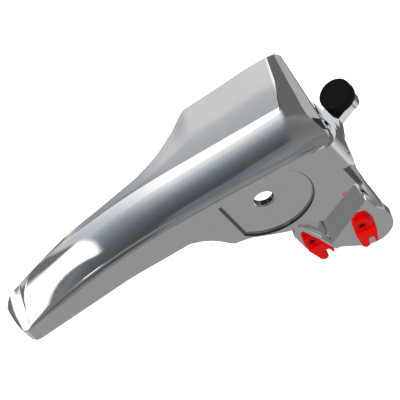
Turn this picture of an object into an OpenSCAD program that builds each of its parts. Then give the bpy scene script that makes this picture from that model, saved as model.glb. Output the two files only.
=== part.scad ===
// Car interior door handle: a bell-crank pull lever, plated all over, that turns on a pin through its
// near wall and its far cheek.  X runs along the grip towards the head, Y along the pivot from the near
// wall inwards, and Z out through the show face.  The origin is on the pivot's axis,
// midway between the ends of its bore.

/* [Grip] */
// Reach of the grip from the pivot to its tip
grip_reach = 93.4; // [84:0.2:100]
// Width of the crowned face, from the near wall to the ridge
crown_w = 18.6; // [16:0.2:20]
// Height of the ridge over the pivot
ridge_h = 15.2; // [14.4:0.1:17]
// Drop of the ridge between the pivot and the tip
grip_droop = 11.4; // [9:0.2:13]
// Distance from the pivot at which the grip starts to bend down
bend_start = 22; // [16:0.5:28]
// Rise of the crown over the chord between its two edges
crown_rise = 2.1; // [1.2:0.1:2.4]
// Drop of the crown's near edge under the ridge, at the pivot
near_drop = 2.3; // [1.6:0.1:3.2]
// Length of the bevel round the tip
nose_len = 7.4; // [5:0.2:9]
// Height of the bead along the crown's near edge
bead_h = 2.5; // [1.8:0.1:3]
// Width of the bead along the crown's near edge
bead_w = 1.7; // [1.2:0.1:2.2]
// Wall of the casting
wall = 2.4; // [2:0.1:2.8]

/* [Head] */
// Width of the head over its wing
head_w = 43.2; // [40:0.2:45]
// Reach of the head's end past the pivot, at the near wall
head_reach = 30.2; // [29:0.2:32]
// Fall of the wing from the ridge to its far edge
wing_fall = 2; // [1:0.1:3.4]
// Distance from the pivot at which the wing starts to flare out
flare_start = 34; // [31:0.5:38]
// Distance from the pivot to the wing's shoulder
shoulder_x = 12; // [9:0.5:14]
// Radius of the head's rounded near corner
corner_r = 4; // [3:0.1:5]
// Depth of the lip that hangs from the wing's edges
lip_h = 4.6; // [3.5:0.1:6]
// Thickness of the ribs under the wing
rib_t = 1.6; // [1.2:0.1:2.2]

/* [Pivot] */
// Diameter of the pivot bore
pivot_d = 6.5; // [5:0.1:8]
// Diameter of the round recess about the pivot
recess_d = 31; // [28:0.5:32]
// Depth of the round recess about the pivot
recess_depth = 1; // [0.8:0.1:1.8]
// Distance from the pivot to the recess's straight left edge
recess_cut = 12; // [11:0.2:14]
// Drop of the recess's centre under the pivot
recess_low = 0.7; // [0:0.1:1]

/* [Leg and tail] */
// Distance of the rail's far end from the near wall
rail_d = 17.6; // [16.5:0.2:19]
// Height of the rail's top over the pivot
rail_top = 6.3; // [5.5:0.1:7]
// Thickness of the rail
rail_t = 1.6; // [1.2:0.1:2]
// Radius of the corner at the leg's right edge
leg_r = 5; // [4:0.2:6]
// Drop from the pivot to the rounded end of the tail plate
tail_drop = 40; // [38:0.2:42]
// Forward step of the tail plate from the near wall
tail_step = 4.8; // [3.5:0.1:6]
// Thickness of the tail plate
tail_t = 3.2; // [2.6:0.1:3.6]
// Depth of the step beside the ramp, at its top
step_d = 2.9; // [2.2:0.1:3.4]

/* [Rod clips] */
// Diameter of the rods that the clips hold
rod_d = 2; // [1.6:0.1:2.4]
// Outer diameter of a clip's barrel
barrel_d = 4.2; // [3.8:0.1:4.6]
// Thickness of a clip's base
clip_base_t = 1.9; // [1.4:0.1:2.2]
// Thickness of a clip's arm
clip_arm_t = 2.6; // [2.3:0.1:3.2]
// Running clearance round a clip's barrel
barrel_gap = 0.08; // [0.04:0.01:0.1]
// Drop from the pivot to the pull rod clip's barrel
pull_drop = 27; // [25.5:0.2:28]
// Distance of the pull rod clip's barrel from the head's end
pull_in = 10.4; // [9.6:0.1:11.4]
// Drop from the pivot to the lock rod clip's barrel
lock_drop = 34.6; // [33.8:0.2:35.4]
// Tilt of the pull rod clip from straight down
pull_tilt = 16; // [8:1:22]

/* [Bumper] */
// Diameter of the rubber stop
bumper_d = 11.2; // [9:0.2:12]
// Height of the rubber stop over its arm
bumper_h = 3.4; // [2.5:0.1:5]
// Diameter of the stop's neck through the arm
neck_d = 4; // [3:0.1:5]
// Distance of the stop's centre from the head's end
bumper_out = 5.4; // [4.8:0.1:6.5]
// Distance of the stop's centre from the near wall's face
bumper_in = 18.6; // [17:0.2:21]
// Thickness of the stop's arm
arm_t = 3.2; // [2.4:0.1:3.6]

/* [Hidden] */

$fn = 96;
eps = 0.01;
// Clearance between two pieces that lie face to face but must turn
face_gap = 0.15;

// Grip's curves
tip_x = -grip_reach;
crease_x = tip_x + nose_len;
nose_z = -2.6;
skirt_mid_z = 0.3;
skirt_tip_z = -3.5;
skirt_head_z = 6.2;
strip_w = 2.6;

// Mean of two values, with t running from 0 to 1
function mix(a, b, t) = a + (b - a) * t;
function clamp01(t) = min(1, max(0, t));
function ease(t) = let (c = clamp01(t)) c * c * (3 - 2 * c);

// Drop of the ridge along the grip: a parabola from the bend's start to the crease at the tip
function droop(x) =
    let (t = max(0, -x - bend_start) / (-crease_x - bend_start))
    grip_droop * t * t;
function nose_t(x) = clamp01((crease_x - x) / nose_len);
function crest(x) = ridge_h - droop(max(x, crease_x));
// The bevel is straight at first and rolls over at the front
function bevel_z(x) =
    let (t = nose_t(x), z0 = crest(crease_x))
    mix(z0, nose_z, 0.72 * t + 0.28 * t * t * t);
function ridge_z(x) = x > crease_x ? crest(x) : bevel_z(x);
function near_fall(x) = near_drop * clamp01((x - crease_x) / -crease_x) + 0.07 * max(0, x);
function near_z(x) = ridge_z(x) - near_fall(x) * (x > crease_x ? 1 : 0);

// Plan outline.  The tip's end leans, so its far corner is the farthest from the pivot
tip_lean = 7;
tip_far_r = 3.6;
function corner_in(d, r) = d >= r ? 0 : r - sqrt(max(0, r * r - (r - d) * (r - d)));
function near_y(x) = (crown_w - 1.8) * pow(1 - clamp01((x - tip_x) / tip_lean), 2.4);

// Cubic through four neighbouring points of a curve
function cubic(a, b, c, d, t) =
    0.5 * (2 * b + (c - a) * t + (2 * a - 5 * b + 4 * c - d) * t * t + (3 * b - a - 3 * c + d) * t * t * t);
function along(pts, x, i = 1) =
    (i >= len(pts) - 3 || x <= pts[i + 1][0])
    ? let (t = clamp01((x - pts[i][0]) / (pts[i + 1][0] - pts[i][0])))
      cubic(pts[i - 1][1], pts[i][1], pts[i + 1][1], pts[i + 2][1], t)
    : along(pts, x, i + 1);

grip_far = crown_w + strip_w;
shoulder_y = head_w - 3.2;
flare = [
    [-grip_reach - 20, grip_far - 0.8],
    [-grip_reach, grip_far - 0.6],
    [-flare_start - 16, grip_far + 0.9],
    [-flare_start, grip_far + 3],
    [mix(-flare_start, -shoulder_x, 0.42), mix(grip_far + 3, shoulder_y, 0.24)],
    [mix(-flare_start, -shoulder_x, 0.76), mix(grip_far + 3, shoulder_y, 0.62)],
    [-shoulder_x, shoulder_y - 0.4],
    [-shoulder_x + 4, shoulder_y + 0.2],
    [head_reach, head_w],
    [head_reach + 20, head_w + 0.6]
];
function far_y(x) = along(flare, x) - corner_in(x - tip_x, tip_far_r);
// The ridge runs along the crown and turns across the tip
function ridge_y(x) =
    let (turn = 9, d = x - crease_x, full = crown_w - 0.3)
    x <= crease_x ? near_y(x) + edge_w(x) + 0.3
    : mix(near_y(x) + edge_w(x) + 0.3, full, sqrt(1 - pow(1 - clamp01(d / turn), 2)));
function far_z(x) =
    let (head_fall = wing_fall * ease((far_y(x) - grip_far) / (head_w - grip_far)))
    let (tip_fall = 1.9 * clamp01(1 - (x - crease_x) / 22) * (1 - nose_t(x)))
    ridge_z(x) - head_fall - tip_fall - 0.35;

// Share of the bead's full size that is left near the tip
function bead_share(x) = mix(0.25, 1, clamp01((x - crease_x) / 14));
function edge_w(x) = bead_w * bead_share(x);
function near_bottom(x) =
    x < -50 ? mix(skirt_tip_z, skirt_mid_z, clamp01((x - crease_x) / (-50 - crease_x)))
    : mix(skirt_mid_z, skirt_head_z, ease((x + 28) / 10));
function far_bottom(x) =
    x < -50 ? mix(skirt_tip_z, skirt_mid_z, clamp01((x - crease_x) / (-50 - crease_x)))
    : mix(skirt_mid_z, ridge_h - wing_fall - lip_h, ease((x + flare_start + 2) / 22));

// The head's end in plan: a rounded near corner, then a curve that leans back to the far corner
end_back = 6.6;
facet_in = 2.4;
function end_x(y) =
    let (t = clamp01((y - corner_r) / (head_w - corner_r)))
    head_reach - corner_in(max(0, y), corner_r) - end_back * t;
// The bevel starts at a crease on the wing, and runs out to the crease over the end's facet
function facet_x(y) =
    end_x(y) - facet_in * clamp01((y - 1.5) / 9) * mix(1, 0.5, clamp01((y - 14) / (head_w - 14)));
function bevel_x(y) =
    head_reach - (y < crown_w ? mix(13.4, 10.9, clamp01(y / crown_w))
    : mix(10.9, 9.5, ease((y - crown_w) / 11)) + 0.3 * clamp01((y - 30) / 10));
// Drops from the wing to the facet's upper crease, and from there to its lower edge
function bevel_drop(y) = mix(1.6, 0.5, clamp01((y - 16) / (head_w - 16)));
function facet_drop(y) = mix(3.8, 2.4, clamp01((y - 16) / (head_w - 16))) * clamp01((y - 1) / 9);

// Rows across the top: the bead, the crown, the wing and the rounded far edge
bead_n = 6;
crown_n = 16;
wing_n = 6;
// The wing falls slowly beside the ridge and faster at its far edge
wing_bow = 1.7;
round_n = 5;
far_r = 2;
bead_form = [[0, 1], [0.08, 0.7], [0.3, 0.4], [0.62, 0.24], [0.72, 0.2], [0.84, 0.03]];

// Height of the crown over the straight line between its edges, which is an arc's
function arc_rise(t, rise) = 4 * rise * t * (1 - t);

function top_row(x) =
    let (yn = near_y(x), zn = near_z(x), yr = ridge_y(x), zr = ridge_z(x), yf = far_y(x), zf = far_z(x))
    let (w = edge_w(x), h = bead_h * bead_share(x), r = min(far_r, (yf - yr) * 0.75))
    let (share = x > crease_x ? mix(0.3, 1, ease((x - crease_x) / 32)) : 0)
    [
        for (i = [0 : bead_n - 1])
            [yn + bead_form[i][0] * w, zn - bead_form[i][1] * h],
        for (i = [0 : crown_n])
            let (y = mix(yn + w, yr, i / crown_n), t = (y - yn - w) / (crown_w - 0.3 - yn - w))
            [y, mix(zn, zr, t) + arc_rise(t, crown_rise * share)],
        for (i = [1 : wing_n])
            let (t = i / wing_n, k = (yr - yn - w) / (crown_w - 0.3 - yn - w))
            let (z0 = mix(zn, zr, k) + arc_rise(k, crown_rise * share))
            [mix(yr, yf - r, t), z0 - (z0 - zf) * pow(t, wing_bow)],
        for (i = [1 : round_n])
            let (a = 88 * i / round_n)
            [yf - r + r * sin(a), zf - r + r * cos(a)]
    ];

// Stations along the grip, closer together at the tip and round the flare, up to the head's end
end_start = 12;
stations = [
    for (i = [0 : 6]) tip_x + nose_len * (1 - cos(90 * (i + 0.6) / 7.6)),
    crease_x,
    for (i = [1 : 8]) crease_x + 9 * pow(i / 8, 1.5),
    for (i = [1 : 13]) mix(crease_x + 9, -flare_start - 2, i / 13),
    for (i = [1 : 18]) mix(-flare_start - 2, -shoulder_x + 4, i / 18),
    for (i = [1 : 8]) mix(-shoulder_x + 4, end_start, i / 8)
];
// Stages of the head's end: 0 to 1 leads up to the bevel, 1 to 2 is the bevel and 2 to 3 the facet
end_stages = [0.5, 1, 1.2, 1.45, 1.7, 2, 3];

// Point of one stage.  On the crown the bevel rolls over, and beyond the ridge it starts at a crease
function end_point(p, s) =
    let (y = p[0], b = clamp01(s - 1), f = clamp01(s - 2), roll = clamp01((crown_w - y) / 5))
    let (x = s <= 1 ? mix(end_start, bevel_x(y), s) : s <= 2 ? mix(bevel_x(y), facet_x(y), b)
        : mix(facet_x(y), end_x(y), f))
    let (fall = 0.07 * (x - end_start) * clamp01(1 - y / crown_w))
    [x, y, p[1] - fall - bevel_drop(y) * mix(b, b * b, roll) - facet_drop(y) * f];

last_row = top_row(end_start);
top_rows = concat(
    [for (x = stations) [for (p = top_row(x)) [x, p[0], p[1]]]],
    [for (s = end_stages) [for (p = last_row) end_point(p, s)]]
);

// Underside of the closed form, straight from the near wall's foot to the far edge's foot
function foot(p) =
    let (x = p[0], yf = max(far_y(min(x, end_start)), 1))
    [p[0], p[1], min(p[2] - 0.4, mix(near_bottom(x), far_bottom(x), clamp01(p[1] / yf)))];

// A closed solid between a grid of points and the same grid moved by a lower one
module slab(upper, lower) {
    n = len(upper);
    m = len(upper[0]);
    pts = concat([for (row = upper) for (p = row) p], [for (row = lower) for (p = row) p]);
    base = n * m;
    faces = concat(
        [for (i = [0 : n - 2]) for (j = [0 : m - 2]) for (k = [0, 1])
            let (a = i * m + j)
            k == 0 ? [a, a + 1, a + m + 1] : [a, a + m + 1, a + m]],
        [for (i = [0 : n - 2]) for (j = [0 : m - 2]) for (k = [0, 1])
            let (a = base + i * m + j)
            k == 0 ? [a, a + m + 1, a + 1] : [a, a + m, a + m + 1]],
        [for (i = [0 : n - 2]) for (k = [0, 1])
            let (a = i * m, b = base + i * m)
            k == 0 ? [a, a + m, b + m] : [a, b + m, b]],
        [for (i = [0 : n - 2]) for (k = [0, 1])
            let (a = i * m + m - 1, b = base + i * m + m - 1)
            k == 0 ? [a, b, b + m] : [a, b + m, a + m]],
        [for (j = [0 : m - 2]) for (k = [0, 1])
            k == 0 ? [j, base + j, base + j + 1] : [j, base + j + 1, j + 1]],
        [for (j = [0 : m - 2]) for (k = [0, 1])
            let (a = (n - 1) * m + j, b = base + (n - 1) * m + j)
            k == 0 ? [a, a + 1, b + 1] : [a, b + 1, b]]
    );
    polyhedron(points = pts, faces = faces, convexity = 8);
}

module outer_form() slab(top_rows, [for (row = top_rows) [for (p = row) foot(p)]]);

// Hollow of the casting, open below
hollow_n = 8;
hollow_below = -12;
hollow_stations = [
    for (i = [0 : 8]) mix(crease_x + 2, -flare_start - 2, i / 8),
    for (i = [1 : 9]) mix(-flare_start - 2, -shoulder_x + 6, i / 9),
    for (i = [1 : 3]) mix(-shoulder_x + 6, end_start, i / 3)
];
function roof_z(x, y) =
    let (row = top_row(x), k = len([for (p = row) if (p[0] <= y) p]))
    let (a = row[max(0, k - 1)], b = row[min(len(row) - 1, k)])
    mix(a[1], b[1], b[0] > a[0] ? clamp01((y - a[0]) / (b[0] - a[0])) : 0);
function hollow_row(x) =
    let (y0 = wall + max(0, near_y(x)), y1 = far_y(x) - wall)
    [for (i = [0 : hollow_n])
        let (y = mix(y0, y1, i / hollow_n))
        [x, y, min(roof_z(x, y), roof_z(x, mix(y, y1, 0.06))) - wall]];
function hollow_end(p, s) =
    let (x1 = end_x(p[1] + wall) - wall)
    [mix(end_start, x1, s), p[1], p[2] - (3.1 + 0.6 * clamp01(1 - p[1] / crown_w)) * s * s];
hollow_last = hollow_row(end_start);
hollow_rows = concat(
    [for (x = hollow_stations) hollow_row(x)],
    [for (s = [0.35, 0.7, 1]) [for (p = hollow_last) hollow_end(p, s)]]
);

// Ribs stand in the hollow and are cut from its form, so they follow the casting's inner face
cheek_y = crown_w;
module ribs() {
    for (x = [-shoulder_x + 4, 18])
        translate([x - rib_t / 2, cheek_y, 4])
            cube([rib_t, head_w, 40]);
    translate([-flare_start - 5, cheek_y, -2])
        cube([flare_start + head_reach + 6, wall, 40]);
}

module hollow() {
    difference() {
        slab(hollow_rows, [for (row = hollow_rows) [for (p = row) [p[0], p[1], hollow_below]]]);
        ribs();
    }
}

// Near wall below the grip, and the leg that turns down at the head
pull_x = head_reach - pull_in;
leg_left = 3.6;
leg_right = head_reach + 1.8;
// Rise of the leg's corner over the rail's top
corner_rise = 1.6;
leg_bottom = [[9.3, -22.9], [2.6, -18.5], [leg_left - 2, -18.8], [-0.9, -19.4]];
module leg_outline() {
    difference() {
        union() {
            polygon(concat(
                [[-34, skirt_mid_z], [-34, 9], [leg_right, 9], [leg_right, 2], [leg_right - 0.7, -2],
                    [leg_right - 1.5, -6], [step_x + 1, -5.6], [step_x, -5.2],
                    [step_x, -19], [pull_x - 3, -22]],
                leg_bottom,
                [[-6.6, -16], [-11.8, -12.5], [-15.2, -11.3], [-17, -11], [-18.3, -9.4], [-20, -6.4],
                    [-22, -3.8], [-24.5, -1.6], [-28, skirt_mid_z]]
            ));
        }
        translate([-34 - eps, -20])
            square([6, 20 + skirt_mid_z]);
    }
}

// Upright prism of an outline drawn in X and Z, from one depth to another
module plate(y0, y1) {
    translate([0, y1, 0])
        rotate([90, 0, 0])
            linear_extrude(height = y1 - y0)
                children();
}

module leg_plan() {
    difference() {
        union() {
            translate([-34, 0])
                square([34 + leg_right - leg_r, wall]);
            translate([leg_right - leg_r, leg_r])
                circle(r = leg_r);
        }
        translate([leg_right - leg_r, leg_r])
            circle(r = leg_r - rail_t);
        translate([leg_right - 2 * leg_r - 4, wall])
            square([leg_r + 4, 3 * leg_r]);
        translate([leg_right - leg_r, leg_r + 1])
            square(2 * leg_r);
    }
}

module leg() {
    intersection() {
        plate(-1, 3 * leg_r)
            leg_outline();
        translate([0, 0, -60])
            linear_extrude(height = 70)
                leg_plan();
        union() {
            translate([-60, -1, -60])
                cube([60 + leg_right - leg_r, 60, 80]);
            translate([leg_right - leg_r - eps, -1, -60])
                cube([leg_r + 1, 60, 60 + rail_top + corner_rise]);
        }
    }
    // The wall's right end is thick down to the ramp, and the band stands back from it by a step
    plate(0.4, step_d + 2)
        polygon([[step_x - 2.4, -1], [step_x, -1], [step_x, -18], [step_x - 2.4, -16.5]]);
    band();
}

// Band down the leg's right side: it stands back at the top, and comes forward to the tail plate's face
step_x = leg_right - 5.8;
module band() {
    intersection() {
        translate([step_x - 1.2, 0, 0])
            rotate([90, 0, 90])
                linear_extrude(height = 8)
                    polygon([
                        [1.3, -2], [step_d - 0.6, -9], [-1.6, -23], [-tail_step + 0.2, -29],
                        [-tail_step + tail_t - 0.4, -31], [1.2, -23], [step_d + 2.2, -9], [4, -2]
                    ]);
        plate(-tail_step, 3 * leg_r)
            polygon([
                [step_x - 2, -1], [leg_right - 0.5, -1], [leg_right - 0.7, -2], [leg_right - 1.5, -6],
                [leg_right - 3.6, -13], [leg_right - 4, -19], [leg_right - 3.8, -31], [step_x - 2, -31]
            ]);
    }
}

// Rail that runs back from the leg's corner outside the head's end, and carries the arm
rail_low = 2.6;
rail_line = [
    [leg_right, leg_r], [leg_right + 0.2, leg_r + 3.9], [leg_right - 3, rail_d], [leg_right - 5.6, rail_d + 5]
];
module rail() {
    translate([0, 0, rail_low])
        linear_extrude(height = rail_top - rail_low)
            for (i = [0 : len(rail_line) - 2])
                hull() {
                    for (p = [rail_line[i], rail_line[i + 1]])
                        translate(p - [rail_t / 2, 0])
                            circle(d = rail_t, $fn = 24);
                }
}

// Tail plate, stepped forward of the near wall, with its ramp
tail_front = -tail_step;
tail_r = 8.6;
tail_c = [pull_x + 0.2, -tail_drop + tail_r];
tail_edge = [[step_x, -18.7], [pull_x - 11.8, -29.4]];
module tail_outline() {
    difference() {
        union() {
            intersection() {
                translate(tail_c)
                    circle(r = tail_r);
                polygon([tail_edge[0], tail_edge[1], [pull_x - 12, -60], [60, -60], [60, -18.7]]);
            }
            polygon([
                tail_edge[0], tail_edge[1], [pull_x - 12.6, -31.4],
                tail_c + tail_r * [cos(232), sin(232)], tail_c + tail_r * [cos(-8), sin(-8)],
                [leg_right - 3.6, -28], [step_x + 0.6, -25]
            ]);
        }
        translate([pull_x, -pull_drop])
            circle(d = barrel_d + 2 * barrel_gap);
    }
}

// The ramp is one prism between the line where it leaves the near wall and the tail plate's upper edge
module ramp() {
    top_right = [step_x - 1.4, -15];
    top_left = [9.2, -23.5];
    low_right = [step_x - 0.4, -18.9];
    low_left = [pull_x - 11.9, -29.6];
    lift = 0.9;
    pts = [
        [top_right[0], 0, top_right[1]], [top_left[0], 0, top_left[1]],
        [low_left[0], tail_front, low_left[1]], [low_right[0], tail_front, low_right[1]],
        [top_right[0], wall, top_right[1] + lift], [top_left[0], wall, top_left[1] + lift],
        [low_left[0], tail_front + tail_t, low_left[1] - lift],
        [low_right[0], tail_front + tail_t, low_right[1] - lift]
    ];
    hull()
        polyhedron(points = pts, faces = [
            [0, 1, 2, 3], [7, 6, 5, 4], [1, 0, 4, 5], [2, 1, 5, 6], [3, 2, 6, 7], [0, 3, 7, 4]
        ]);
}

// Flange down the leg's left edge, with a rounded lip, that carries the lock rod's lug
lug_front = wall + 0.7 + clip_arm_t + face_gap;
lug_t = 2.4;
lug_back = lug_front + lug_t;
lock_x = 0.4;
lip_top = [leg_left - 1.3, -19.9];
lip_low = [pull_x - 12.4, -34];
lip_t = 2.4;
module lip_outline() {
    a = atan2(lip_low[1] - lip_top[1], lip_low[0] - lip_top[0]);
    span = norm(lip_low - lip_top);
    translate(lip_top)
        rotate(a)
            union() {
                translate([0, -lip_t / 2])
                    square([span, lip_t]);
                circle(d = lip_t);
                translate([span, 0])
                    circle(d = lip_t);
            }
}

// The lip's front edge is rounded, and comes forward to meet the tail plate
lip_bend = lip_top + 0.6 * (lip_low - lip_top);
module bead(x, y, z) {
    translate([x, y, z])
        sphere(d = lip_t - 0.1, $fn = 24);
}
module lip() {
    plate(0.9, lug_back)
        lip_outline();
    hull() {
        bead(lip_top[0], 0.6, lip_top[1]);
        bead(lip_bend[0], -0.6, lip_bend[1]);
    }
    hull() {
        bead(lip_bend[0], -0.6, lip_bend[1]);
        bead(lip_low[0] + 0.6, tail_front + 1.4, lip_low[1] + 1);
        bead(lip_low[0], 0.6, lip_low[1]);
    }
}

module lug() {
    lug_r = 6.4;
    c = [lock_x + 2.6, -lock_drop - 3.4];
    plate(lug_front, lug_back)
        difference() {
            union() {
                translate(c)
                    circle(r = lug_r);
                translate([c[0] - lug_r, c[1]])
                    square([lug_r, 8]);
                polygon([[c[0], c[1] - lug_r], lip_low + [0, -1.2], lip_low,
                    lip_top, [c[0] - lug_r, c[1] + 8]]);
            }
            translate([lock_x, -lock_drop])
                circle(d = barrel_d + 2 * barrel_gap);
        }
}

// Web behind the pocket between the lip and the ramp, with a three-sided shelf in the pocket
module web() {
    shelf = [[1.7, wall, -20.7], [8.8, wall, -25.3], [5.8, -1.7, -23]];
    low = [1.2, 0, -5];
    plate(wall - 0.2, wall + 1.4)
        polygon([[2, -16], lip_top, lip_low + [0, 4], [10.5, -29], [12, -19]]);
    hull()
        polyhedron(
            points = [shelf[0], shelf[1], shelf[2], shelf[0] + low, shelf[1] + low, shelf[2] + low],
            faces = [[0, 1, 2], [5, 4, 3], [1, 0, 3, 4], [2, 1, 4, 5], [0, 2, 5, 3]]
        );
}

// Far cheek under the ridge, with the second pivot bore
cheek_r = 7.4;
module cheek() {
    plate(cheek_y, cheek_y + wall)
        union() {
            circle(r = cheek_r);
            polygon([[-cheek_r, 0], [-flare_start, 4], [-flare_start, 9], [18, 10.4], [cheek_r, 0]]);
        }
}

// Arm that carries the rubber stop
arm_top = 3.2;
bumper_c = [head_reach + bumper_out, bumper_in];
arm_r = bumper_d / 2 - 0.6;
module arm() {
    translate([0, 0, arm_top - arm_t])
        linear_extrude(height = arm_t)
            difference() {
                union() {
                    translate(bumper_c + [arm_r - 2.4, -arm_r + 3.2])
                        circle(r = 2.4);
                    polygon([
                        [leg_right - 1, leg_r], [leg_right, leg_r + 1.4], [leg_right + 0.9, 11.6],
                        bumper_c + [arm_r - 2.4, -arm_r + 0.8],
                        bumper_c + [arm_r, -arm_r + 3.2], bumper_c + [arm_r, 0],
                        bumper_c + [0, arm_r - 1], [leg_right - 3.4, rail_d],
                        [leg_right - 6.6, rail_d + 4], [leg_right - 7, leg_r]
                    ]);
                }
                translate(bumper_c)
                    circle(d = neck_d);
            }
}

// The recess stops under the bead
recess_top = near_z(0) - bead_h - 1.2;
recess_step = 0.5;
module recess_form(grow) {
    intersection() {
        translate([0, -recess_low])
            circle(d = recess_d + 2 * grow);
        translate([-recess_cut - 2 * grow, recess_top - recess_d - 2])
            square([60, recess_d + 2]);
    }
}
module recess() {
    plate(-2, recess_depth)
        recess_form(0);
    plate(-2, recess_depth - recess_step)
        recess_form(recess_step);
}

// Countersink at the pivot bore's mouth
mouth_depth = 0.5;
pivot_mid = (recess_depth + mouth_depth + cheek_y + wall) / 2;
module from_pivot() translate([0, -pivot_mid, 0]) children();

module lever() {
    color([0.78, 0.79, 0.81])
        from_pivot() difference() {
            union() {
                difference() {
                    outer_form();
                    hollow();
                }
                leg();
                cheek();
                plate(recess_depth, recess_depth + wall)
                    intersection() {
                        translate([0, -recess_low])
                            circle(r = recess_d / 2 + 0.6);
                        translate([-recess_cut - 2.2, -30])
                            square([60, 39]);
                    }
                plate(tail_front, tail_front + tail_t)
                    tail_outline();
                ramp();
                lip();
                web();
                lug();
                rail();
                arm();
            }
            recess();
            plate(-1, cheek_y + wall + 1)
                circle(d = pivot_d);
            plate(recess_depth - eps, recess_depth + mouth_depth)
                circle(d = pivot_d + 1);
        }
}

// A clip, drawn with its barrel on the origin, its base on the plane z = 0 and its arm pointing down -Y
module clip(grip_t) {
    // Outlines in barrel diameters, so the clip grows with its barrel
    base = barrel_d * [
        [-0.64, 0.1], [-0.56, 0.45], [-0.28, 0.66], [0.45, 0.66],
        [0.68, 0.42], [0.88, -0.1], [0.86, -0.67], [-0.69, -0.67]
    ];
    arm_plan = barrel_d * [
        [-0.64, -0.42], [-0.2, -0.52], [0.3, -0.52], [0.81, -0.42], [0.98, -0.57], [0.8, -2.07],
        [0.08, -2.33], [-0.21, -2.46], [-0.48, -2.2], [-0.71, -0.57]
    ];
    notch = [0.36 * barrel_d, -1.7 * barrel_d];
    barb_gap = 0.12;
    difference() {
        union() {
            linear_extrude(height = clip_base_t)
                polygon(base);
            linear_extrude(height = clip_arm_t)
                difference() {
                    polygon(arm_plan);
                    translate(notch)
                        circle(d = rod_d);
                    translate(notch - [rod_d / 2, barrel_d])
                        square([rod_d, barrel_d]);
                }
            translate([0, 0, -grip_t - barb_gap - 1])
                cylinder(h = grip_t + barb_gap + 1 + eps, d = barrel_d);
            translate([0, 0, -grip_t - barb_gap - 1])
                cylinder(h = 1, d = barrel_d + 1);
        }
        translate([0, 0, -grip_t - 2])
            cylinder(h = grip_t + clip_arm_t + 3, d = rod_d);
    }
}

module pull_rod_clip() {
    color([0.9, 0.04, 0.05])
        from_pivot() translate([pull_x, tail_front - 0.02, -pull_drop])
            rotate([90, 0, 0])
                rotate(-pull_tilt)
                    clip(tail_t + 0.02);
}

module lock_rod_clip() {
    color([0.9, 0.04, 0.05])
        from_pivot() translate([lock_x, lug_front - 0.02, -lock_drop])
            rotate([90, 0, 0])
                rotate(2)
                    clip(lug_t + 0.02);
}

module stop_bumper() {
    edge = 0.7;
    bulb_h = 2.2;
    color([0.05, 0.05, 0.055])
        from_pivot() translate([bumper_c[0], bumper_c[1], arm_top])
            rotate_extrude()
                polygon([
                    [0, bumper_h],
                    for (a = [90 : -15 : 0])
                        [bumper_d / 2 - edge + edge * cos(a), bumper_h - edge + edge * sin(a)],
                    [bumper_d / 2, 0], [neck_d / 2 - 0.04, 0], [neck_d / 2 - 0.04, -arm_t],
                    [neck_d / 2 + 0.6, -arm_t - 0.1], [neck_d / 2 + 0.5, -arm_t - 0.9],
                    [neck_d / 2 - 0.7, -arm_t - bulb_h], [0, -arm_t - bulb_h]
                ]);
}

lever();
stop_bumper();
pull_rod_clip();
lock_rod_clip();
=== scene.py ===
# %% [markdown]
# A chrome-plated pull lever from the inside of a car door, with its rubber stop and its two red rod clips.
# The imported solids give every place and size.  This file gives each of them its finish, softens the edges of
# the clips and the stop, and sets up the pale studio that the plating mirrors.

# %% Load the frame
import math
import bmesh
import bpy
from mathutils import Matrix, Vector


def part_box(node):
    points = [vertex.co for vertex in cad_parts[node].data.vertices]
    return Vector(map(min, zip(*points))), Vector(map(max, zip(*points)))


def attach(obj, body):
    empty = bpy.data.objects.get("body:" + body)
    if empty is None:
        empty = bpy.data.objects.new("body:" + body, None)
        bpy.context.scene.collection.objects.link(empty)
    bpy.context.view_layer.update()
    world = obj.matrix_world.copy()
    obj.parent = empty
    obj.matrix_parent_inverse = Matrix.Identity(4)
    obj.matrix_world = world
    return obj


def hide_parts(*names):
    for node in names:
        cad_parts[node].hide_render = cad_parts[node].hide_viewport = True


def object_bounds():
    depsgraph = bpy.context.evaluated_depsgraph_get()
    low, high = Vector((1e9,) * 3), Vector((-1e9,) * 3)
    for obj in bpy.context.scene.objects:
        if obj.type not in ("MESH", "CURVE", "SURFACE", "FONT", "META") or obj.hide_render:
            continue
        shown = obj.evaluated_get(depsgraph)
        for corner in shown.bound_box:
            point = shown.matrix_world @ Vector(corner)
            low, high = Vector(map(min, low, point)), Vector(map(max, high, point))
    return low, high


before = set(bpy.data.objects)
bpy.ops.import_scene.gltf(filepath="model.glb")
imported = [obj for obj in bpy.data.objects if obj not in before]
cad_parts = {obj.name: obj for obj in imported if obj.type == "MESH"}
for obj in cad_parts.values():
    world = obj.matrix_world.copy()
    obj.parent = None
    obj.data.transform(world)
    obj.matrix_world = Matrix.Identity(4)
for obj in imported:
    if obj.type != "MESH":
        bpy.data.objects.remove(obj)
cad_box = [list(corner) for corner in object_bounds()]
low = Vector(cad_box[0])
# Blender works in metres, and sizes and places here are in millimetres where no comment says metres
MM = 0.001
print("CAD box in mm:", [[round(v / MM, 1) for v in corner] for corner in cad_box])

# %% [markdown]
# The photograph looks down on the crowned face from the near side, with the camera rolled so that the grip
# runs from the lower left to the upper right.  Three directions fix such a camera: right, up and back.
# They are unit vectors in the lever's own frame, and the pivot's place in the picture fixes the rest.

# %% Camera
RIGHT = Vector((0.845, -0.2695, -0.461)).normalized()
UP = Vector((0.488, 0.741, 0.461))
UP = (UP - UP.dot(RIGHT) * RIGHT).normalized()
BACK = RIGHT.cross(UP)
MM_PER_PIXEL = 0.317
PIXELS = 400
PIVOT_PIXEL = (265.2, 201.6)
PIVOT_FACE = Vector((0, -11.25 * MM, 0))
LENS = 1200
SENSOR = 36

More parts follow.
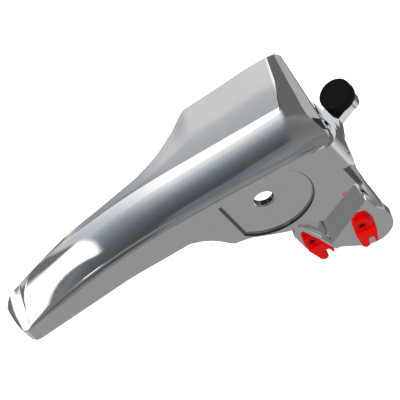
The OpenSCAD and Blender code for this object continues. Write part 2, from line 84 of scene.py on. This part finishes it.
pixel = MM_PER_PIXEL * MM
aim = PIVOT_FACE + RIGHT * (PIXELS / 2 - PIVOT_PIXEL[0]) * pixel + UP * (PIVOT_PIXEL[1] - PIXELS / 2) * pixel
away = PIXELS * pixel * LENS / SENSOR
camera_data = bpy.data.cameras.new("camera")
camera_data.lens = LENS
camera_data.sensor_width = SENSOR
camera_data.clip_start = 0.01
camera = bpy.data.objects.new("camera", camera_data)
bpy.context.scene.collection.objects.link(camera)
axes = Matrix((RIGHT, UP, BACK)).transposed().to_4x4()
camera.matrix_world = Matrix.Translation(aim + BACK * away) @ axes
bpy.context.scene.camera = camera
bpy.context.scene.view_settings.view_transform = "Standard"
print("camera stands", round(away, 2), "m off")

# %% [markdown]
# Each piece's finish is a little uneven: fine grain in the rubber and plastic, and a faint orange peel in
# the plating.  One node group makes that unevenness from noise on Object coordinates, so that the grain
# sits still on a piece, and each material gives it a scale and an amount of its own.

# %% Grain group
NOISE_DETAIL = 3
NOISE_MIDDLE = 0.5
EVEN_TONE = 1


def grain_group():
    """Noise as a tone near 1 and as a height between 0 and 1."""
    group = bpy.data.node_groups.new("grain", "ShaderNodeTree")
    sides = (("Vector", "INPUT", "NodeSocketVector"), ("Scale", "INPUT", "NodeSocketFloat"),
             ("Amount", "INPUT", "NodeSocketFloat"), ("Tone", "OUTPUT", "NodeSocketFloat"),
             ("Height", "OUTPUT", "NodeSocketFloat"))
    for name, side, kind in sides:
        group.interface.new_socket(name=name, in_out=side, socket_type=kind)
    nodes, links = group.nodes, group.links
    given = nodes.new("NodeGroupInput")
    out = nodes.new("NodeGroupOutput")
    noise = nodes.new("ShaderNodeTexNoise")
    noise.inputs["Detail"].default_value = NOISE_DETAIL
    links.new(given.outputs["Vector"], noise.inputs["Vector"])
    links.new(given.outputs["Scale"], noise.inputs["Scale"])
    spread = nodes.new("ShaderNodeMath")
    spread.operation = "SUBTRACT"
    spread.inputs[1].default_value = NOISE_MIDDLE
    links.new(noise.outputs["Fac"], spread.inputs[0])
    tone = nodes.new("ShaderNodeMath")
    tone.operation = "MULTIPLY_ADD"
    tone.inputs[2].default_value = EVEN_TONE
    links.new(spread.outputs[0], tone.inputs[0])
    links.new(given.outputs["Amount"], tone.inputs[1])
    links.new(tone.outputs[0], out.inputs["Tone"])
    links.new(noise.outputs["Fac"], out.inputs["Height"])
    return group


GRAIN = grain_group()
print("grain group with", len(GRAIN.nodes), "nodes")

# %% [markdown]
# Materials and the studio are both trees of small nodes.  One helper class keeps the making of such a tree
# short: it does sums, smooth steps, products of masks and mixes of colours, and takes numbers or sockets.

# %% Node maker
# A Mix node has an A, a B and a Result for each kind of data, and these are the ones for colours
MIX_A = 6
MIX_B = 7
MIX_RESULT = 2


class NodeMaker:
    """Short ways to add nodes to a tree."""

    def __init__(self, tree):
        self.nodes = tree.nodes
        self.links = tree.links

    def feed(self, socket, value):
        if isinstance(value, bpy.types.NodeSocket):
            self.links.new(value, socket)
        else:
            socket.default_value = value

    def split(self, vector):
        """The three parts of a vector, by name."""
        node = self.nodes.new("ShaderNodeSeparateXYZ")
        self.links.new(vector, node.inputs[0])
        return dict(zip("xyz", node.outputs))

    def math(self, operation, *values):
        node = self.nodes.new("ShaderNodeMath")
        node.operation = operation
        for socket, value in zip(node.inputs, values):
            self.feed(socket, value)
        return node.outputs[0]

    def ramp(self, value, start, end, low_end=0.0, high_end=1.0):
        """A smooth step between two values."""
        node = self.nodes.new("ShaderNodeMapRange")
        node.interpolation_type = "SMOOTHSTEP"
        limits = {"From Min": start, "From Max": end, "To Min": low_end, "To Max": high_end}
        for name, number in limits.items():
            node.inputs[name].default_value = number
        self.links.new(value, node.inputs["Value"])
        return node.outputs["Result"]

    def rise(self, value, edge, soft):
        """1 where a value is over an edge."""
        return self.ramp(value, edge - soft, edge + soft)

    def fall(self, value, edge, soft):
        """1 where a value is under an edge."""
        return self.ramp(value, edge - soft, edge + soft, 1, 0)

    def product(self, *masks):
        share = masks[0]
        for mask in masks[1:]:
            share = self.math("MULTIPLY", share, mask)
        return share

    def tint(self, share, under, colour, mode="MIX"):
        """A share of one colour laid over another."""
        node = self.nodes.new("ShaderNodeMix")
        node.data_type = "RGBA"
        node.blend_type = mode
        self.feed(node.inputs["Factor"], share)
        self.feed(node.inputs[MIX_A], under)
        self.feed(node.inputs[MIX_B], colour)
        return node.outputs[MIX_RESULT]


print("node maker ready")

# %% [markdown]
# Masks say where on a piece an effect shows.  They are built from the three Object coordinates with smooth
# steps and products, so each is a soft-edged box or cylinder in the lever's own frame, in millimetres.

# %% Material maker
class Finish(NodeMaker):
    """A material under construction, with masks in millimetres."""

    def __init__(self, name):
        self.material = bpy.data.materials.new(name)
        self.material.use_nodes = True
        super().__init__(self.material.node_tree)
        self.shader = self.nodes["Principled BSDF"]
        self.where = self.nodes.new("ShaderNodeTexCoord").outputs["Object"]
        self.axis = self.split(self.where)

    def above(self, value, edge, soft):
        """1 where a value in metres is over an edge in millimetres."""
        return self.rise(value, edge * MM, soft * MM)

    def below(self, value, edge, soft):
        return self.fall(value, edge * MM, soft * MM)

    def between(self, value, span, soft):
        start, end = span
        return self.math("MULTIPLY", self.above(value, start, soft), self.below(value, end, soft))

    def box(self, spans, softness):
        """1 inside a box, given by its spans in X, Y and Z and how soft its sides are."""
        sides = [self.between(*side) for side in zip(self.axis.values(), spans, softness)]
        return self.product(*sides)

    def off_axis(self, x, z):
        """Distance in metres from a line along Y, whose place is in metres too."""
        dx = self.math("SUBTRACT", self.axis["x"], x)
        dz = self.math("SUBTRACT", self.axis["z"], z)
        squares = [self.math("MULTIPLY", part, part) for part in (dx, dz)]
        return self.math("SQRT", self.math("ADD", *squares))

    def grain(self, scale, amount):
        node = self.nodes.new("ShaderNodeGroup")
        node.node_tree = GRAIN
        self.links.new(self.where, node.inputs["Vector"])
        node.inputs["Scale"].default_value = scale
        node.inputs["Amount"].default_value = amount
        return node.outputs["Tone"], node.outputs["Height"]

    def bump(self, height, distance, strength):
        node = self.nodes.new("ShaderNodeBump")
        node.inputs["Distance"].default_value = distance * MM
        node.inputs["Strength"].default_value = strength
        self.links.new(height, node.inputs["Height"])
        self.links.new(node.outputs["Normal"], self.shader.inputs["Normal"])


def wear(target, finish):
    """Give a mesh one finish for all its faces."""
    target.data.materials.clear()
    target.data.materials.append(finish.material)


print("material maker ready")

# %% [markdown]
# The photograph shows the wing beyond the ridge duller than the crown, and the stepped wall round the
# recess, the strip beside the ramp and the ribs in the pivot bore darker.  That darkness is what they mirror,
# and here it is painted shade in the plating's tone; the wing is also made rougher.  A mask puts each in its
# place.

# %% Tones and places of the plating
POLISHED = (0.97, 0.975, 0.98, 1)
# Painted shade on the wing beyond the ridge, darker than the crown
WING_PAINTED_SHADE = (0.55, 0.555, 0.565, 1)
# Painted shade on the recess's step and the strip beside the ramp
SHADED = (0.22, 0.24, 0.26, 1)
# Painted shade in the ribs of the pivot bore
RIB_PAINTED_SHADE = (0.05, 0.05, 0.045, 1)
# Edges of the wing, each with its softness
RIDGE_Y = (7.05, 0.05)
WING_END_X = (20, 0.6)
WING_FADE_X = (-62, 8)
# Boxes by their spans in X, Y and Z, with the softness of their sides
STEP_BOX = ((-14, 17), (-10.95, -10.4), (-17.5, 8))
STEP_SOFT = (0.2, 0.05, 0.2)
STRIP_BOX = ((26.2, 27.7), (-11.1, 6), (-18.9, -2))
STRIP_SOFT = (0.1, 0.1, 0.2)
print("recess step", STEP_BOX, "strip", STRIP_BOX)

# %% Ribs in the bore
BORE_R = 3.25
# How far past the bore's wall the ribs' mask reaches, with its softness
RIB_REACH = (0.05, 0.04)
RIBS = 22
RIB_SPAN_Y = (-10, -7)
RIB_END_SOFT = 0.05
# Two heights of the sine wave that makes the ribs, and the share of the painted shade at each
RIB_WAVE = (-1.2, 0.4, 1, 0.8)


def bore_ribs(finish):
    """A mask of painted shade in ribs on the bore's wall, counted round its axis."""
    x, y, z = finish.axis.values()
    wave = finish.math("SINE", finish.math("MULTIPLY", finish.math("ARCTAN2", z, x), RIBS))
    reach, soft = RIB_REACH
    on_wall = finish.below(finish.off_axis(0, 0), BORE_R + reach, soft)
    along = finish.between(y, RIB_SPAN_Y, RIB_END_SOFT)
    return finish.product(on_wall, along, finish.ramp(wave, *RIB_WAVE))


print(RIBS, "ribs in a bore of", 2 * BORE_R, "mm")

# %% Chrome
# Scale and amount of the fine speck and the broad cloud in the plating
SPECK = (9000, 0.10)
CLOUD = (160, 0.06)
# Two heights of the cloud, and the roughness at each
HAZE = (0.35, 0.75, 0.035, 0.085)
WING_HAZE = 0.05
PEEL_DEPTH = 0.004
PEEL_STRENGTH = 0.25


def plated_chrome():
    finish = Finish("plated_chrome")
    finish.shader.inputs["Metallic"].default_value = 1
    x, y = finish.axis["x"], finish.axis["y"]
    wing_length = finish.product(finish.below(x, *WING_END_X), finish.above(x, *WING_FADE_X))
    wing = finish.product(finish.above(y, *RIDGE_Y), wing_length)
    # Painted shade on the wing, the recess's step, the strip and the bore's ribs, in place of darker
    # reflections
    shaded = finish.math("MAXIMUM", finish.box(STEP_BOX, STEP_SOFT), finish.box(STRIP_BOX, STRIP_SOFT))
    tone = finish.tint(wing, POLISHED, WING_PAINTED_SHADE)
    tone = finish.tint(shaded, tone, SHADED)
    tone = finish.tint(bore_ribs(finish), tone, RIB_PAINTED_SHADE)
    speck, peel = finish.grain(*SPECK)
    cloud, swell = finish.grain(*CLOUD)
    tone = finish.tint(1.0, tone, finish.math("MULTIPLY", speck, cloud), "MULTIPLY")
    finish.links.new(tone, finish.shader.inputs["Base Color"])
    haze = finish.ramp(swell, *HAZE)
    finish.links.new(finish.math("MULTIPLY_ADD", wing, WING_HAZE, haze), finish.shader.inputs["Roughness"])
    finish.bump(peel, PEEL_DEPTH, PEEL_STRENGTH)
    return finish


CHROME = plated_chrome()
print("chrome with", len(CHROME.nodes), "nodes")

# %% [markdown]
# The clips are taken to be red acetal and the stop soft black rubber.  Both are matt with a fine grain.  The
# red is painted darker round each clip's rod socket, in place of the shade there.  The photograph shows a
# dark patch near that place on the pull clip, and on the lock clip only an evenly darker red.

# %% Plastic and rubber
ACETAL_RED = (0.92, 0.0, 0.0, 1)
SOCKET_RED = (0.55, 0.0, 0.0, 1)
# Reach of a socket's shade from the rod's axis, with its softness
SOCKET_SHADE = (2.1, 0.9)
RUBBER_BLACK = (0.004, 0.004, 0.005, 1)
# Two heights of the grain, and how much smoother and rougher it is there
GRAIN_LOW = 0.3
GRAIN_HIGH = 0.7
ROUGH_SPREAD = 0.06
GRAIN_STRENGTH = 0.4


def moulded(name, colour, rough, specular, grain, grain_depth, sockets=()):
    """A matt moulded material, darker round the rod sockets if their places are given."""
    finish = Finish(name)
    finish.shader.inputs["Specular IOR Level"].default_value = specular
    tone, height = finish.grain(*grain)
    for x, z in sockets:
        near_socket = finish.below(finish.off_axis(x, z), *SOCKET_SHADE)
        colour = finish.tint(near_socket, colour, SOCKET_RED)
    finish.links.new(finish.tint(1.0, colour, tone, "MULTIPLY"), finish.shader.inputs["Base Color"])
    roughness = finish.ramp(height, GRAIN_LOW, GRAIN_HIGH, rough - ROUGH_SPREAD, rough + ROUGH_SPREAD)
    finish.links.new(roughness, finish.shader.inputs["Roughness"])
    finish.bump(height, grain_depth, GRAIN_STRENGTH)
    return finish


# Each clip's node, with the body that it belongs to
CLIPS = {"pull_rod_clip": "pull_clip", "lock_rod_clip": "lock_clip"}
# How thin a slice of the barrel's far end is measured
BARREL_SLICE = 0.05


def barrel_place(node):
    """The rod's axis through a clip: the middle of the flange at the barrel's far end."""
    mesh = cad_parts[node].data
    far = max(v.co.y for v in mesh.vertices)
    ring = [v.co for v in mesh.vertices if v.co.y > far - BARREL_SLICE * MM]
    return [(min(c[axis] for c in ring) + max(c[axis] for c in ring)) / 2 for axis in (0, 2)]


rod_sockets = [barrel_place(node) for node in CLIPS]
print("rod axes in mm:", [[round(v / MM, 1) for v in place] for place in rod_sockets])
# A grain is its scale and its amount
RED = moulded(
    "red_acetal", ACETAL_RED, rough=0.45, specular=0.12,
    grain=(1400, 0.35), grain_depth=0.02, sockets=rod_sockets
)
RUBBER = moulded(
    "black_rubber", RUBBER_BLACK, rough=0.62, specular=0.18,
    grain=(2600, 0.8), grain_depth=0.03
)

# %% [markdown]
# The lever is taken to be one zinc casting.  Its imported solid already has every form, so a copy of that
# mesh is used: its loose triangles are joined, and the edges that must stay crisp are marked.  On the show
# face a turn of nine degrees is already a crease, as along the ridge, and elsewhere it takes twenty-two.

# %% Lever
# Points nearer to each other than this are joined
MERGE = 0.004
# Turns in degrees from which an edge is a crease
CREASE = 22
SHOW_CREASE = 9
# The show face lies over a height, which falls from one place on towards the tip
SHOW_Z = 10.5
SHOW_BEND_X = -20
SHOW_FALL = 0.17


def take_up(piece):
    """Select one piece alone, and make it the active one."""
    bpy.ops.object.select_all(action="DESELECT")
    piece.select_set(True)
    bpy.context.view_layer.objects.active = piece


def joined_copy(node, name):
    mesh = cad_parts[node].data.copy()
    piece = bpy.data.objects.new(name, mesh)
    bpy.context.scene.collection.objects.link(piece)
    take_up(piece)
    bpy.ops.mesh.customdata_custom_splitnormals_clear()
    work = bmesh.new()
    work.from_mesh(mesh)
    bmesh.ops.remove_doubles(work, verts=work.verts, dist=MERGE * MM)
    work.to_mesh(mesh)
    work.free()
    return piece


def show_floor(x):
    """Height over which the lever's surface is the show face."""
    return (SHOW_Z + SHOW_FALL * min(x / MM - SHOW_BEND_X, 0)) * MM


def mark_creases(piece):
    work = bmesh.new()
    work.from_mesh(piece.data)
    for face in work.faces:
        face.smooth = True
    for edge in work.edges:
        middle = (edge.verts[0].co + edge.verts[1].co) / 2
        limit = SHOW_CREASE if middle.z > show_floor(middle.x) else CREASE
        edge.smooth = len(edge.link_faces) == 2 and edge.calc_face_angle(0) < math.radians(limit)
    creases = sum(not edge.smooth for edge in work.edges)
    work.to_mesh(piece.data)
    work.free()
    return creases


lever = joined_copy("lever", "plated_lever")
creases = mark_creases(lever)
wear(lever, CHROME)
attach(lever, "handle")
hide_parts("lever")
print("lever:", len(lever.data.polygons), "faces,", creases, "creased edges")

# %% [markdown]
# A clip has small edges that catch the light, as moulded plastic has.  The copy of its solid loses the
# triangles inside its flat faces, and then a Bevel modifier rounds what is left.

# %% Rod clips
CLIP_BEVEL = 0.18
# Faces that turn by less than this, in degrees, are one flat face
FLAT_ANGLE = 1


def dissolve_flats(piece):
    work = bmesh.new()
    work.from_mesh(piece.data)
    bmesh.ops.dissolve_limit(work, angle_limit=math.radians(FLAT_ANGLE), verts=work.verts, edges=work.edges)
    work.to_mesh(piece.data)
    work.free()


def round_edges(piece, width, segments, angle, smooth_angle):
    """Round the active piece's edges that turn by more than an angle in degrees."""
    bevel = piece.modifiers.new("round", "BEVEL")
    bevel.width = width * MM
    bevel.segments = segments
    bevel.limit_method = "ANGLE"
    bevel.angle_limit = math.radians(angle)
    bpy.ops.object.modifier_apply(modifier=bevel.name)
    bpy.ops.object.shade_smooth_by_angle(angle=math.radians(smooth_angle))


for node, body in CLIPS.items():
    clip = joined_copy(node, node.replace("clip", "snap"))
    dissolve_flats(clip)
    take_up(clip)
    round_edges(clip, CLIP_BEVEL, segments=2, angle=40, smooth_angle=35)
    wear(clip, RED)
    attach(clip, body)
    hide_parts(node)
    print(clip.name, len(clip.data.polygons), "faces")

# %% [markdown]
# The stop is round, so it starts as a cylinder.  Insets and extrusions in edit mode give it the dished top,
# the neck through the arm and the bulb that keeps it there, and a bevel rounds its edges.  The photograph
# hides the neck and the bulb, so they are as such stops have them.

# %% Rubber stop
HEAD_H = 3.4
NECK_R = 1.96
NECK_H = 3.2
# Steps of the bulb under the neck: how far down, and how much wider or narrower
BULB = ((-0.1, 1.3), (-0.8, 0.96), (-1.3, 0.5))
# Width of the rim round the dish, its depth, and how much its floor narrows
DISH_RIM = 0.9
DISH_D = 0.12
DISH_TAPER = 0.97
STOP_BEVEL = 0.45


def face_height(face):
    return face.calc_center_median().z


def pick_face(piece, downwards):
    """Select only the lowest or the highest flat face, in edit mode."""
    bpy.ops.mesh.select_all(action="DESELECT")
    work = bmesh.from_edit_mesh(piece.data)
    work.faces.ensure_lookup_table()
    face = min(work.faces, key=face_height) if downwards else max(work.faces, key=face_height)
    face.select_set(True)
    bmesh.update_edit_mesh(piece.data)
    return face.calc_center_median()


def push(distance, scale, centre):
    """Extrude the chosen face up or down, and scale its far end."""
    bpy.ops.mesh.extrude_region_move(TRANSFORM_OT_translate={"value": (0, 0, distance * MM)})
    if scale != 1:
        bpy.ops.transform.resize(value=(scale, scale, 1), center_override=centre)


stop_low, stop_high = (Vector(corner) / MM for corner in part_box("stop_bumper"))
stop_r = (stop_high.x - stop_low.x) / 2
stop_x, stop_y = (stop_low.x + stop_high.x) / 2, (stop_low.y + stop_high.y) / 2
bpy.ops.object.select_all(action="DESELECT")
bpy.ops.mesh.primitive_cylinder_add(
    vertices=96, radius=stop_r * MM, depth=HEAD_H * MM,
    location=(stop_x * MM, stop_y * MM, (stop_high.z - HEAD_H / 2) * MM)
)
stop = bpy.context.object
stop.name = "rubber_stop"
bpy.ops.object.transform_apply(location=True, rotation=True, scale=True)
bpy.ops.object.mode_set(mode="EDIT")
centre = pick_face(stop, downwards=True)
bpy.ops.mesh.inset(thickness=(stop_r - NECK_R) * MM, depth=0)
push(-NECK_H, 1, centre)
for distance, scale in BULB:
    push(distance, scale, centre)
centre = pick_face(stop, downwards=False)
bpy.ops.mesh.inset(thickness=DISH_RIM * MM, depth=0)
push(-DISH_D, DISH_TAPER, centre)
bpy.ops.object.mode_set(mode="OBJECT")
round_edges(stop, STOP_BEVEL, segments=4, angle=50, smooth_angle=30)
wear(stop, RUBBER)
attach(stop, "handle")
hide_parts("stop_bumper")
print("stop:", len(stop.data.polygons), "faces")

# %% [markdown]
# The lever lies over a sheet of white paper, which takes its shadow.  The paper is hidden from glossy rays,
# so the chrome doesn't mirror it.  In a test where it did, the near wall and most of the leg turned as white
# as the background and were lost against it, and the photograph shows them mid grey.

# %% Floor
PAPER = (0.9, 0.9, 0.9, 1)
PAPER_ROUGH = 0.9
GLOW = (1, 1, 1, 1)
GLOW_STRENGTH = 0.9
# Side of the sheet, in metres
PAPER_SIZE = 6
PAPER_GAP = 0.5


def white_paper():
    """Paper that camera and transmission rays see as white, and other rays as pale grey."""
    finish = Finish("white_paper")
    finish.shader.inputs["Base Color"].default_value = PAPER
    finish.shader.inputs["Roughness"].default_value = PAPER_ROUGH
    finish.shader.inputs["Emission Color"].default_value = GLOW
    path = finish.nodes.new("ShaderNodeLightPath")
    seen = finish.math("MAXIMUM", path.outputs["Is Camera Ray"], path.outputs["Is Transmission Ray"])
    finish.links.new(finish.math("MULTIPLY", seen, GLOW_STRENGTH), finish.shader.inputs["Emission Strength"])
    return finish


bpy.ops.object.select_all(action="DESELECT")
bpy.ops.mesh.primitive_plane_add(size=PAPER_SIZE, location=(0, 0, low.z - PAPER_GAP * MM))
floor = bpy.context.object
floor.name = "floor"
floor.visible_glossy = False
wear(floor, white_paper())
print("floor at", round(floor.location.z / MM, 1), "mm")

# %% [markdown]
# Chrome has no colour of its own: what it shows is the room.  The room here is a world shader that gives
# each direction a level, as a photographer's tent does.  Along the lever's own axis X its upper part has
# three zones.  Over the tip and over the grip the level follows the slope, which is how far a direction
# leans to the far side, and past the head it follows the height.  The near side has levels of its own.  All
# were fitted to the brightness seen in the photograph, and rounded, so they suit that view best.

# %% Levels of the tent
# Slope from up and to the near side (-1) to down and to the far side (1), with the level there
OVER_GRIP = [
    (-1, 0.26), (-0.965, 0.25), (-0.91, 0.155), (-0.873, 0.15), (-0.857, 0.08), (-0.83, 0.072),
    (-0.77, 0.09), (-0.70, 0.115), (-0.61, 0.15), (-0.50, 0.22), (-0.38, 0.34), (-0.23, 0.48),
    (-0.07, 0.72), (0.09, 0.84), (0.12, 1.15), (1, 1.15)
]
OVER_TIP = [
    (-1, 0.06), (-0.83, 0.07), (-0.61, 0.12), (-0.38, 0.20), (-0.2, 0.26), (0, 0.36), (0.2, 0.5), (1, 0.55)
]
# Height of a direction, with the level there
PAST_HEAD = [
    (-1, 0.12), (-0.6, 0.12), (-0.42, 0.36), (-0.1, 0.46), (0.1, 0.4), (0.3, 0.13), (0.78, 0.127),
    (0.9, 0.2), (1, 0.14)
]
NEAR_SIDE = [(-1, 0.30), (-0.5, 0.29), (-0.2, 0.23), (0.05, 0.19), (0.5, 0.19), (0.7, 0.20), (1, 0.2)]
# How far a low direction on the near side leans towards the head, with the level there
NEAR_LOW = [
    (-1, 0.29), (0.1, 0.29), (0.2, 0.34), (0.32, 0.62), (0.45, 0.60), (0.6, 0.40), (0.72, 0.1), (1, 0.04)
]
# Colour that a level takes on as it gets dark
TINT_UPPER = (0.87, 1.0, 1.13)
TINT_NEAR = (0.965, 1.0, 0.995)
# Borders between the zones, each with its softness
TIP_TO_GRIP = (-0.29, 0.13)
GRIP_TO_HEAD = (-0.07, 0.07)
UPPER_FROM_Y = (0.03, 0.12)
UPPER_FROM_Z = (0.7, 0.1)
LOW_UNDER_Z = (-0.2, 0.15)
print(len(OVER_GRIP), "levels over the grip")

# %% [markdown]
# Three bright cards stand in the tent: two past the tip, the upper one for the tip and the lower one for the
# nose, and one past the head.  A card is the set of directions inside its edges, and the plating mirrors it
# as a white shape.  The upper card has one more edge, which slants.  Round the two past the tip the tent is
# dim on the far side, so that they stand out.

# %% Cards
CARD_WHITE = (1.2, 1.2, 1.2, 1)
DIM = (0.15, 0.15, 0.15, 1)
# Each edge: the axis, the side of the edge that is inside, the place and the softness
DIM_END = (
    ("x", "under", -0.49, 0.02),
    ("y", "over", 0.2, 0.1)
)
TIP_CARD = (
    ("x", "under", -0.48, 0.015),
    ("z", "over", 0.35, 0.03)
)
NOSE_CARD = (
    ("x", "under", -0.62, 0.03),
    ("z", "over", -0.04, 0.03),
    ("z", "under", 0.16, 0.04),
    ("y", "over", 0.45, 0.05)
)
HEAD_CARD = (
    ("x", "over", 0.45, 0.04),
    ("y", "over", 0.25, 0.05),
    ("z", "over", 0.1, 0.06),
    ("z", "under", 0.5, 0.04)
)
# The tip card's slanting edge, as a line of Y over X: its slope, its height at zero and its softness
TIP_SLANT = (-2, -0.95, 0.03)
print("cards with", len(TIP_CARD) + 1, len(NOSE_CARD), "and", len(HEAD_CARD), "edges")

# %% [markdown]
# The world's tree reads the direction of a ray, which Blender gives as its Generated coordinates.  Each list
# of levels becomes a Color Ramp, and masks with soft edges blend the zones and lay the cards over them.

# %% Tent maker
class Tent(NodeMaker):
    """A world under construction, by direction."""

    def __init__(self, name):
        world = bpy.data.worlds.new(name)
        bpy.context.scene.world = world
        world.use_nodes = True
        super().__init__(world.node_tree)
        self.background = self.nodes["Background"]
        direction = self.nodes.new("ShaderNodeTexCoord").outputs["Generated"]
        self.axis = self.split(direction)

    def levels_along(self, value, levels, dark_tint):
        """A gradient of levels, which takes on a tint where it is dark."""
        to_unit = self.nodes.new("ShaderNodeMapRange")
        to_unit.inputs["From Min"].default_value = -1
        self.links.new(value, to_unit.inputs["Value"])
        ramp = self.nodes.new("ShaderNodeValToRGB")
        self.links.new(to_unit.outputs["Result"], ramp.inputs["Fac"])
        elements = ramp.color_ramp.elements
        elements[0].position = 0
        elements[1].position = 1
        for place, level in levels[1:-1]:
            elements.new((place + 1) / 2)
        for element, (place, level) in zip(elements, levels):
            tint = [1 + (part - 1) * max(0, 1 - level) for part in dark_tint]
            element.color = (*[level * part for part in tint], 1)
        return ramp.outputs["Color"]

    def inside(self, edges):
        """1 for the directions inside a set of edges."""
        masks = []
        for axis, side, place, soft in edges:
            step = self.rise if side == "over" else self.fall
            masks.append(step(self.axis[axis], place, soft))
        return self.product(*masks)


print("tent maker ready")


# %% World
def zones(tent):
    """The upper part of the tent: over the tip, over the grip and past the head."""
    x, y, z = tent.axis.values()
    slope = tent.math("MULTIPLY", tent.math("SUBTRACT", y, z), math.sqrt(0.5))
    over_tip = tent.levels_along(slope, OVER_TIP, TINT_UPPER)
    over_grip = tent.levels_along(slope, OVER_GRIP, TINT_UPPER)
    upper = tent.tint(tent.rise(x, *TIP_TO_GRIP), over_tip, over_grip)
    upper = tent.tint(tent.rise(x, *GRIP_TO_HEAD), upper, tent.levels_along(z, PAST_HEAD, TINT_NEAR))
    return tent.tint(tent.inside(DIM_END), upper, DIM)


def cards(tent):
    """1 for the directions of the three bright cards."""
    slope, height, soft = TIP_SLANT
    line = tent.math("MULTIPLY_ADD", tent.axis["x"], slope, height)
    over_line = tent.math("SUBTRACT", tent.axis["y"], line)
    tip = tent.product(tent.inside(TIP_CARD), tent.rise(over_line, 0, soft))
    tip_and_nose = tent.math("MAXIMUM", tip, tent.inside(NOSE_CARD))
    return tent.math("MAXIMUM", tip_and_nose, tent.inside(HEAD_CARD))


def near_side(tent):
    """The near side of the tent, whose low part has its own levels."""
    by_height = tent.levels_along(tent.axis["z"], NEAR_SIDE, TINT_NEAR)
    low_part = tent.levels_along(tent.axis["x"], NEAR_LOW, TINT_NEAR)
    return tent.tint(tent.fall(tent.axis["z"], *LOW_UNDER_Z), by_height, low_part)


tent = Tent("studio")
upper_part = tent.tint(cards(tent), zones(tent), CARD_WHITE)
far = tent.rise(tent.axis["y"], *UPPER_FROM_Y)
high = tent.rise(tent.axis["z"], *UPPER_FROM_Z)
whole = tent.tint(tent.math("MAXIMUM", far, high), near_side(tent), upper_part)
tent.links.new(whole, tent.background.inputs["Color"])
print("tent of", len(tent.nodes), "nodes")

# %% [markdown]
# Two soft lamps give the matt rubber and plastic their form and the paper its shadow.  They are kept out of
# reflections, because the tent already gives the chrome all that it mirrors.

# %% Lamps
def soft_lamp(name, place, size, power):
    """A square area lamp aimed at the lever, with its place and size in metres."""
    light = bpy.data.lights.new(name, "AREA")
    light.size = size
    light.energy = power
    lamp = bpy.data.objects.new(name, light)
    bpy.context.scene.collection.objects.link(lamp)
    lamp.location = place
    lamp.rotation_mode = "QUATERNION"
    lamp.rotation_quaternion = (-Vector(place)).to_track_quat("-Z", "Y")
    lamp.visible_glossy = False
    print("lamp", name, power, "W")


soft_lamp("key", place=(-0.4, -0.5, 1.0), size=0.7, power=10)
soft_lamp("fill", place=(0.8, 0.3, 0.9), size=0.9, power=6)
